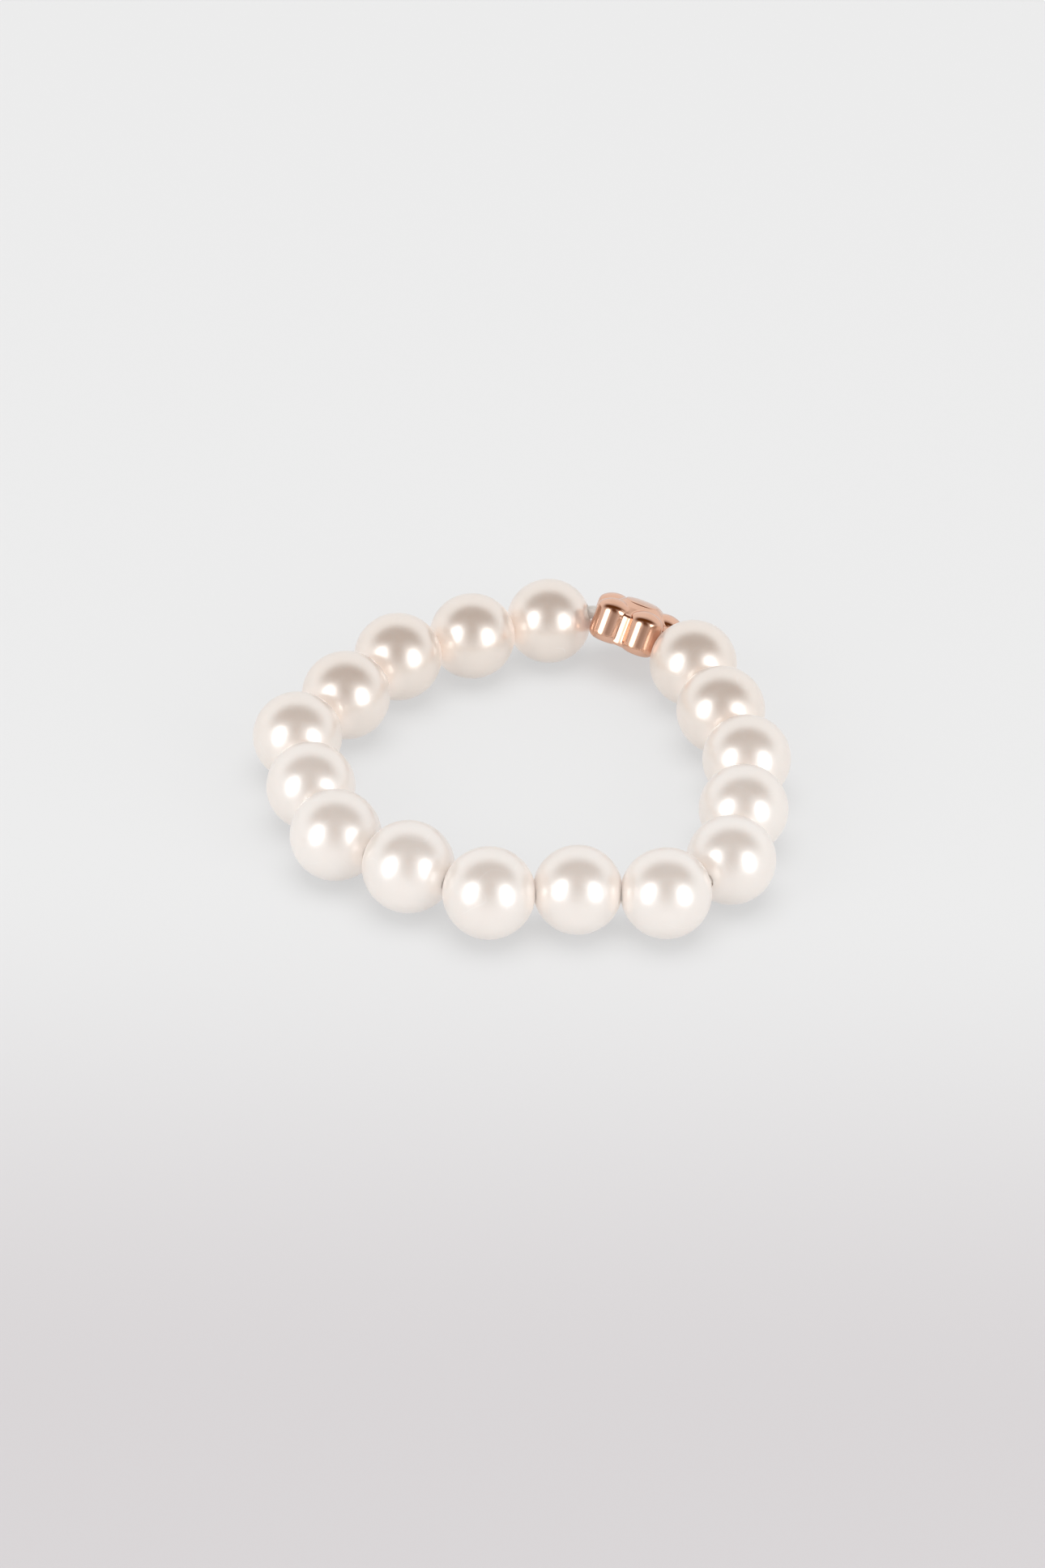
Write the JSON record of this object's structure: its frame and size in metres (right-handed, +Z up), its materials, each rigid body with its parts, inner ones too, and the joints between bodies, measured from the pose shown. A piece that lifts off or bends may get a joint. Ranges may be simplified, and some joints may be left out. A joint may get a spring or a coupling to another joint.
{
  "type": "pearl and flower bead stretch ring",
  "caption": "Finger ring of round imitation pearls and one five-petalled metal flower bead on an elastic cord, lying on its side.",
  "frame": {"origin": "under the middle of the ring's box, in the plane that it rests on", "axes": "+Z up out of the surface that the ring lies on, through the finger hollow; the flower bead stands on the +Y side"},
  "size_m": [0.0242, 0.0254, 0.0041],
  "materials": {
    "pearl": "cream pearl coat with a soft high lustre and faint marks",
    "rose_gold": "polished rose gold plate",
    "elastic": "clear whitish elastic"
  },
  "bodies": {
    "root": {"pearl_01": "pearl", "pearl_02": "pearl", "pearl_03": "pearl", "pearl_04": "pearl", "pearl_05": "pearl", "pearl_06": "pearl", "pearl_07": "pearl", "pearl_08": "pearl", "pearl_09": "pearl", "pearl_10": "pearl", "pearl_11": "pearl", "pearl_12": "pearl", "pearl_13": "pearl", "pearl_14": "pearl", "pearl_15": "pearl", "pearl_16": "pearl", "flower_bead": "rose_gold", "elastic_cord": "elastic"}
  },
  "joints": []
}
